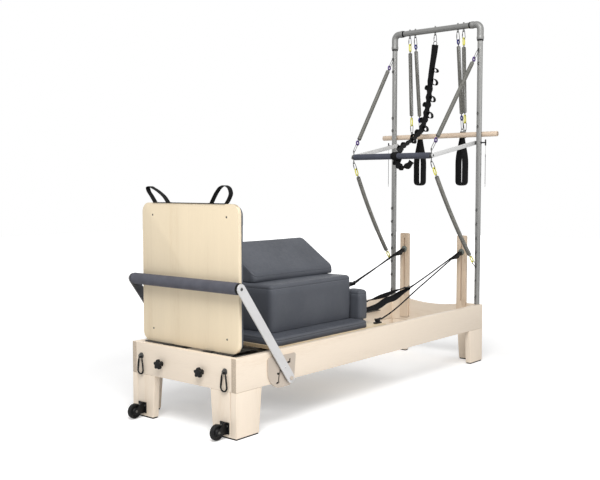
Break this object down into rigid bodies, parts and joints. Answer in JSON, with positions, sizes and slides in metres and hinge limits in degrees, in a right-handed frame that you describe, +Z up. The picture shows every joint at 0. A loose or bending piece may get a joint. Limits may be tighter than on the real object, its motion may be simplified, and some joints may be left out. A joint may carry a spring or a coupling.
{
  "type": "pilates tower unit",
  "caption": "Wooden pilates reformer with a half tower: rolling carriage, footbar, jump board, box, wedge, push bar, roll-down bar, springs and loops.",
  "frame": {"origin": "middle of the base of the whole unit, on the floor, halfway between the two side rails", "axes": "+X along the bed from the foot end to the tower end, +Y across the bed to its far side, +Z up"},
  "size_m": [2.4882, 0.884, 2.209],
  "materials": {
    "maple": "clear satin varnish on pale maple",
    "birch_ply": "clear satin varnish on birch plywood",
    "riser_wood": "clear satin varnish on beech",
    "bar_wood": "clear satin varnish on turned beech",
    "upholstery": "matt slate grey leatherette",
    "grip_foam": "matt foam",
    "silver_arm": "satin",
    "plate_steel": "brushed",
    "tower_tube": "satin grey",
    "spring_wire": "bright drawn wire",
    "bright_steel": "polished zinc",
    "dark_steel": "black satin",
    "black_plastic": "moulded",
    "webbing": "woven",
    "rope": "braided"
  },
  "bodies": {
    "frame": {"side_rail_near": "maple", "side_rail_far": "maple", "foot_end_rail": "maple", "tower_end_board": "maple", "leg_foot_near": "maple", "leg_foot_far": "maple", "leg_tower_near": "maple", "leg_tower_far": "maple", "footbar_plate_near": "plate_steel", "footbar_plate_far": "plate_steel", "spring_bar": "dark_steel", "bed_springs": "spring_wire", "riser_near": "riser_wood", "riser_far": "riser_wood", "pole_near": "tower_tube", "pole_far": "tower_tube", "top_bar": "tower_tube", "traction_rope_near": "rope", "traction_rope_far": "rope", "push_spring_upper_near": "spring_wire", "push_spring_upper_far": "spring_wire", "push_spring_lower_near": "spring_wire", "push_spring_lower_far": "spring_wire", "loop_strap": "webbing"},
    "castor_near": {"castor_wheel_near": "black_plastic"},
    "castor_far": {"castor_wheel_far": "black_plastic"},
    "link_near": {"snap_link_near": "dark_steel"},
    "link_far": {"snap_link_far": "dark_steel"},
    "knob_near": {"star_knob_near": "black_plastic"},
    "knob_far": {"star_knob_far": "black_plastic"},
    "jump_board": {"jump_board_panel": "birch_ply", "jump_board_pad": "upholstery", "jump_board_handles": "webbing"},
    "footbar": {"footbar_frame": "silver_arm", "footbar_grip": "grip_foam"},
    "carriage": {"carriage_base": "birch_ply", "carriage_pad": "upholstery", "shoulder_rest_near": "upholstery", "shoulder_rest_far": "upholstery"},
    "head": {"headrest": "upholstery"},
    "rollers_foot": {"roller_pair_foot": "black_plastic"},
    "rollers_tower": {"roller_pair_tower": "black_plastic"},
    "box": {"sitting_box": "upholstery"},
    "wedge": {"wedge_cushion": "upholstery"},
    "pulley_near": {"pulley_wheel_near": "black_plastic"},
    "pulley_far": {"pulley_wheel_far": "black_plastic"},
    "push_bar": {"push_bar_frame": "silver_arm", "push_bar_grip": "grip_foam"},
    "pin_near": {"t_pin_near": "dark_steel", "safety_cord_near": "rope"},
    "pin_far": {"t_pin_far": "dark_steel", "safety_cord_far": "rope"},
    "roll_down": {"roll_down_bar": "bar_wood", "hanger_spring_near": "spring_wire", "hanger_spring_far": "spring_wire"},
    "loop_near": {"hand_loop_near": "webbing", "loop_spring_near": "spring_wire"},
    "loop_far": {"hand_loop_far": "webbing", "loop_spring_far": "spring_wire"}
  },
  "joints": [
    {"name": "carriage_slide", "type": "slide", "parent": "frame", "child": "carriage", "axis": [1, 0, 0], "range_m": [0, 0.88], "deforming": ["bed_springs", "traction_rope_near", "traction_rope_far"]},
    {"name": "rollers_foot_spin", "type": "hinge", "parent": "carriage", "child": "rollers_foot", "pos_m": [-0.72505, 0, 0.3183], "axis": [0, 1, 0], "continuous": true},
    {"name": "rollers_tower_spin", "type": "hinge", "parent": "carriage", "child": "rollers_tower", "pos_m": [0.05495, 0, 0.3183], "axis": [0, 1, 0], "continuous": true},
    {"name": "headrest_hinge", "type": "hinge", "parent": "carriage", "child": "head", "pos_m": [-0.03105, 0, 0.37], "axis": [0, -1, 0], "range_deg": [0, 20]},
    {"name": "box_lift", "type": "slide", "parent": "carriage", "child": "box", "axis": [0, 0, 1], "range_m": [0, 0.1]},
    {"name": "wedge_lift", "type": "slide", "parent": "box", "child": "wedge", "axis": [0, 0, 1], "range_m": [0, 0.1]},
    {"name": "jump_board_lift", "type": "slide", "parent": "frame", "child": "jump_board", "axis": [0, 0, 1], "range_m": [0, 0.16]},
    {"name": "footbar_hinge", "type": "hinge", "parent": "frame", "child": "footbar", "pos_m": [-0.79605, 0, 0.229], "axis": [0, -1, 0], "range_deg": [0, 60]},
    {"name": "push_bar_hinge", "type": "hinge", "parent": "frame", "child": "push_bar", "pos_m": [1.14795, 0, 1.427], "axis": [0, -1, 0], "range_deg": [-60, 60], "stiffness_Nm_per_rad": 60, "springref_deg": -13.75, "deforming": ["push_spring_upper_near", "push_spring_upper_far", "push_spring_lower_near", "push_spring_lower_far", "loop_strap"]},
    {"name": "t_pin_near_slide", "type": "slide", "parent": "frame", "child": "pin_near", "axis": [0, -1, 0], "range_m": [0, 0.02], "stiffness_N_per_m": 400},
    {"name": "t_pin_far_slide", "type": "slide", "parent": "frame", "child": "pin_far", "axis": [0, 1, 0], "range_m": [0, 0.02], "stiffness_N_per_m": 400},
    {"name": "roll_down_bar_swing", "type": "hinge", "parent": "frame", "child": "roll_down", "pos_m": [1.14795, 0, 2.16], "axis": [0, -1, 0], "range_deg": [0, 35]},
    {"name": "hand_loop_near_swing", "type": "hinge", "parent": "frame", "child": "loop_near", "pos_m": [1.14795, -0.163, 2.16], "axis": [0, -1, 0], "range_deg": [0, 35]},
    {"name": "hand_loop_far_swing", "type": "hinge", "parent": "frame", "child": "loop_far", "pos_m": [1.14795, 0.163, 2.16], "axis": [0, -1, 0], "range_deg": [0, 35]},
    {"name": "pulley_near_spin", "type": "hinge", "parent": "frame", "child": "pulley_near", "pos_m": [1.07595, -0.222, 0.692], "axis": [0, 1, 0], "continuous": true},
    {"name": "pulley_far_spin", "type": "hinge", "parent": "frame", "child": "pulley_far", "pos_m": [1.07595, 0.222, 0.692], "axis": [0, 1, 0], "continuous": true},
    {"name": "castor_near_spin", "type": "hinge", "parent": "frame", "child": "castor_near", "pos_m": [-1.20705, -0.287, 0.039], "axis": [0, 1, 0], "continuous": true},
    {"name": "castor_far_spin", "type": "hinge", "parent": "frame", "child": "castor_far", "pos_m": [-1.20705, 0.287, 0.039], "axis": [0, 1, 0], "continuous": true},
    {"name": "star_knob_near_turn", "type": "hinge", "parent": "frame", "child": "knob_near", "pos_m": [-1.16505, -0.141, 0.286], "axis": [1, 0, 0], "continuous": true},
    {"name": "star_knob_far_turn", "type": "hinge", "parent": "frame", "child": "knob_far", "pos_m": [-1.16505, 0.141, 0.286], "axis": [1, 0, 0], "continuous": true},
    {"name": "snap_link_near_swing", "type": "hinge", "parent": "frame", "child": "link_near", "pos_m": [-1.16405, -0.29, 0.308], "axis": [0, 1, 0], "range_deg": [0, 80]},
    {"name": "snap_link_far_swing", "type": "hinge", "parent": "frame", "child": "link_far", "pos_m": [-1.16405, 0.29, 0.308], "axis": [0, 1, 0], "range_deg": [0, 80]}
  ],
  "couplings": [
    {"joint": "rollers_foot_spin", "follows": "carriage_slide", "rad_per_m": 45.455},
    {"joint": "rollers_tower_spin", "follows": "carriage_slide", "rad_per_m": 45.455},
    {"joint": "hand_loop_near_swing", "follows": "roll_down_bar_swing", "ratio": 1},
    {"joint": "hand_loop_far_swing", "follows": "roll_down_bar_swing", "ratio": 1}
  ]
}
